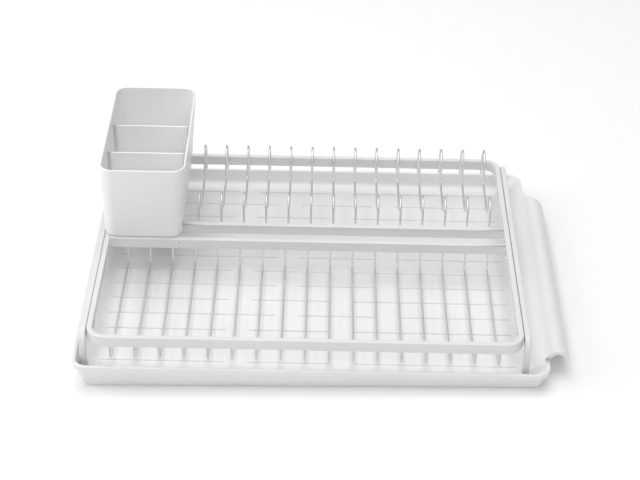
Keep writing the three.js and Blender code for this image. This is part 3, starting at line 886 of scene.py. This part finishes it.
    # over the ramp and arch to the edge, round it, and back along the underside
    def handleRun(y, drop):
        points = []
        reach = edgeX(y)
        for k in range(1, archCount + 1):
            px = rimX + (reach - rimX) * math.sin(math.pi / 2 * k / archCount) ** s["crowding"]
            points.append((px, y, max(archTop(px, y) - drop, rimTop if px <= right else archZ)))
        end = s["handleSheet"] * mm * min(1.0, (reach - right) / (outerX - right))
        for k in (1, 2, 3):
            angle = math.pi * k / 4
            px = reach - end * (1 - math.cos(angle)) / 2
            points.append((px, y, archZ - 0.35 * end * math.sin(angle)))
        for k in range(underCount):
            t = 1 - math.cos(math.pi / 2 * k / (underCount - 1))
            px = reach - end + (right - reach + end) * t
            points.append((px, y, archUnder(px, y) + drop / 2))
        return points

    # over the plain rim, with as many points as the handle's run
    def plainRun(station):
        points = []
        fall = s["rimFall"] * mm
        for k in range(1, archCount + 1):
            share = k / archCount
            crowned = rimTop + s["rimCrown"] * mm * math.sin(math.pi * share)
            fallen = max(0.0, share - s["fallFrom"]) / (1 - s["fallFrom"])
            points.append((*stationPoint(station, rimWidth * (1 - share)), crowned - fall * fallen ** 2))
        return points + [(*stationPoint(station, 0.0), rimTop - fall)] * (3 + underCount)

    def sectionAt(station, withArch, drop):
        points = [(*stationPoint(station, offset, extra), z) for offset, z, extra in wallRun]
        x, y = stationPoint(station, rimWidth)
        points.append((x, y, rimTop))
        points += handleRun(y, drop) if withArch else plainRun(station)
        points += [(*stationPoint(station, offset), z) for offset, z in outRun]
        # skirt down to the table, its foot, and back up to the underside of the floor
        tableGuess = tableAt(stationPoint(station, skirtTop)[0])
        footAt = skirtAt(tableGuess)
        for share in s["skirtShares"]:
            z = beadBottom + (tableGuess - beadBottom) * share
            points.append((*stationPoint(station, skirtAt(z)), z))
        for offset, rise in ((footAt, s["footRound"]), (footAt + s["footInset"] * mm, s["footClear"]),
                             (footAt + sheet, s["footClear"])):
            px, py = stationPoint(station, offset)
            points.append((px, py, tableAt(px) + rise * mm))
        points.append((*stationPoint(station, wallAt(underFloor) - 0.2 * mm, run), underFloor))
        return points

    # stations go round the tray from the front right corner: (place, with the handle's arch, drop)
    def cornerStations(index, start):
        angles = [math.radians(start + 90 * k / s["cornerSteps"]) for k in range(s["cornerSteps"] + 1)]
        return [(("corner", (index, angle)), False, 0.0) for angle in angles]

    stations = cornerStations(0, -90) + [(("side", handleFront), False, 0.0)]
    breakAt = len(stations)
    stations += [(("side", handleFront + y * mm), True, drop * mm) for y, drop in s["lip"]]
    lipEnd = handleFront + s["lip"][-1][0] * mm
    straight = sweepStart - 2 * mm - handleFront
    swept = archEnd - 0.3 * mm - sweepStart
    for k in range(1, s["straightStations"] + 1):
        stations.append((("side", lipEnd + straight * k / s["straightStations"]), True, 0.0))
    for k in range(1, s["sweepStations"] + 1):
        along = (k / s["sweepStations"]) ** s["crowding"]
        stations.append((("side", sweepStart + swept * along), True, 0.0))
    stations.append((("side", archEnd), False, 0.0))
    stations += cornerStations(1, 0) + cornerStations(2, 90) + cornerStations(3, 180)

    # neighbouring sections joined, except where the handle breaks off square at its front
    shape = Shape()
    sections = [shape.ring(sectionAt(*station)) for station in stations]
    for k, (first, second) in enumerate(zip(sections, sections[1:] + sections[:1])):
        if k + 1 != breakAt:
            shape.bridge(first, second, False)
    shape.faces.append(tuple(section[0] for section in sections))
    shape.faces.append(tuple(section[-1] for section in reversed(sections)))
    # front face of the handle's sheet
    start = len(wallRun)
    stop = start + archCount + 3 + underCount
    plain, arched = sections[breakAt - 1], sections[breakAt]
    shape.faces.append(tuple(arched[start:stop + 1]) + tuple(reversed(plain[start + 1:start + archCount])))
    addPiece("drip_tray_moulding", shape, ["drip_tray"], "tray", "tray_plastic", s["merge"] * mm)
    return left, right, front, floor

# broken drainage ribs moulded on the floor
def makeRibs(left, right, front, floor, s):
    half = s["ribWidth"] * mm / 2
    sink = floor - s["ribSink"] * mm
    section = []
    for k in range(s["ribSteps"] + 1):
        angle = math.pi * k / s["ribSteps"]
        section.append((math.cos(angle) * half, math.sin(angle) * s["ribHeight"] * mm))
    ribs = Shape()
    for row in range(s["ribRows"]):
        y = front + s["ribFirst"] * mm + row * s["ribPitch"] * mm
        ends = [left + s["ribInset"] * mm]
        for middle in s["ribBreaks"][row % 2]:
            ends += [hoopX + (middle - s["ribGap"] / 2) * mm, hoopX + (middle + s["ribGap"] / 2) * mm]
        ends.append(right - s["ribInsetRight"] * mm)
        for start, end in zip(ends[::2], ends[1::2]):
            places = [(start + inset * mm, size) for inset, size in s["ribEnds"]]
            places += [(end - inset * mm, size) for inset, size in reversed(s["ribEnds"])]
            rings = []
            for x, size in places:
                ring = [Vector((x, y + a * (0.4 + 0.6 * size), floor + b * size)) for a, b in section]
                rings.append(ring + [Vector((x, y - half, sink)), Vector((x, y + half, sink))])
            ribs.loft(rings)
    piece = addPiece("drip_tray_floor_ribs", ribs, ["drip_tray"], "tray", "tray_plastic")
    # the ribs take the darker plastic: painted shade along them
    piece.data.materials[0] = ribShadePlastic

makeRibs(*makeTray(trayStyle), trayStyle)
print("drip tray made")

stageStyle = {
    "size": 9.0, "tint": (0.985, 0.985, 0.985), "mottle": (0.975, 0.975, 0.975), "glow": 0.02,
    "under": 0.0002, "sky": 0.27,
    "softboxes": {
        "rear_softbox": {"where": (-0.15, 0.9, 2.0), "size": (2.0, 1.4), "power": 9.5},
        "overhead_softbox": {"where": (0, 0.1, 2.2), "size": (2.0, 2.0), "power": 22.5},
        "front_softbox": {"where": (0, -1.7, 1.6), "size": (2.0, 1.2), "power": 12.2},
        "side_softbox": {"where": (-2.0, 0, 1.2), "size": (1.4, 1.4), "power": 15.5},
    },
}

def makeFloor(s):
    mesh = bpy.data.meshes.new("studio_floor")
    half = s["size"] / 2
    corners = [(-half, -half, 0), (half, -half, 0), (half, half, 0), (-half, half, 0)]
    mesh.from_pydata(corners, [], [(0, 1, 2, 3)])
    floor = bpy.data.objects.new("studio_floor", mesh)
    floor.location.z = -s["under"]
    bpy.context.scene.collection.objects.link(floor)
    graph = Graph("studio_floor_look", {
        "Specular IOR Level": 0.2, "Roughness": 0.75,
        "Emission Color": (1, 1, 1, 1), "Emission Strength": s["glow"]})
    haze = graph.noise(3, 2, 0.5)
    graph.finish(color=graph.mixed(haze * 0.2, s["tint"], s["mottle"]))
    mesh.materials.append(graph.material)

# a softbox aimed at the middle of the rack
def makeLight(name, where, size, power):
    data = bpy.data.lights.new(name, "AREA")
    data.shape = "RECTANGLE"
    data.size, data.size_y = size
    data.energy = power
    light = bpy.data.objects.new(name, data)
    light.location = where
    light.rotation_euler = (-Vector(where)).to_track_quat("-Z", "Y").to_euler()
    bpy.context.scene.collection.objects.link(light)

def makeStage(s):
    makeFloor(s)
    world = bpy.data.worlds.new("studio_sky")
    world.use_nodes = True
    sky = world.node_tree.nodes["Background"]
    sky.inputs["Color"].default_value = (1, 1, 1, 1)
    sky.inputs["Strength"].default_value = s["sky"]
    bpy.context.scene.world = world
    for name, box in s["softboxes"].items():
        makeLight(name, box["where"], box["size"], box["power"])

# where the lens is from the middle of the hoop, how it is turned in degrees, and its length on a sensor
cameraStyle = {
    "fromHoop": (0.03456, -1.31205, 0.94245), "turn": (54.351, 0.456, 0.652), "lens": 90.19, "sensor": 36,
}

def makeCamera(s):
    data = bpy.data.cameras.new("camera")
    data.lens = s["lens"]
    data.sensor_width = s["sensor"]
    camera = bpy.data.objects.new("camera", data)
    hoopCentre = toFrame @ Vector((hoopX, hoopY, hoopTop))
    camera.location = hoopCentre + Vector(s["fromHoop"])
    camera.rotation_euler = [math.radians(a) for a in s["turn"]]
    bpy.context.scene.collection.objects.link(camera)
    bpy.context.scene.camera = camera

makeStage(stageStyle)
makeCamera(cameraStyle)
bpy.context.scene.view_settings.view_transform = "Standard"
print("stage and camera made")
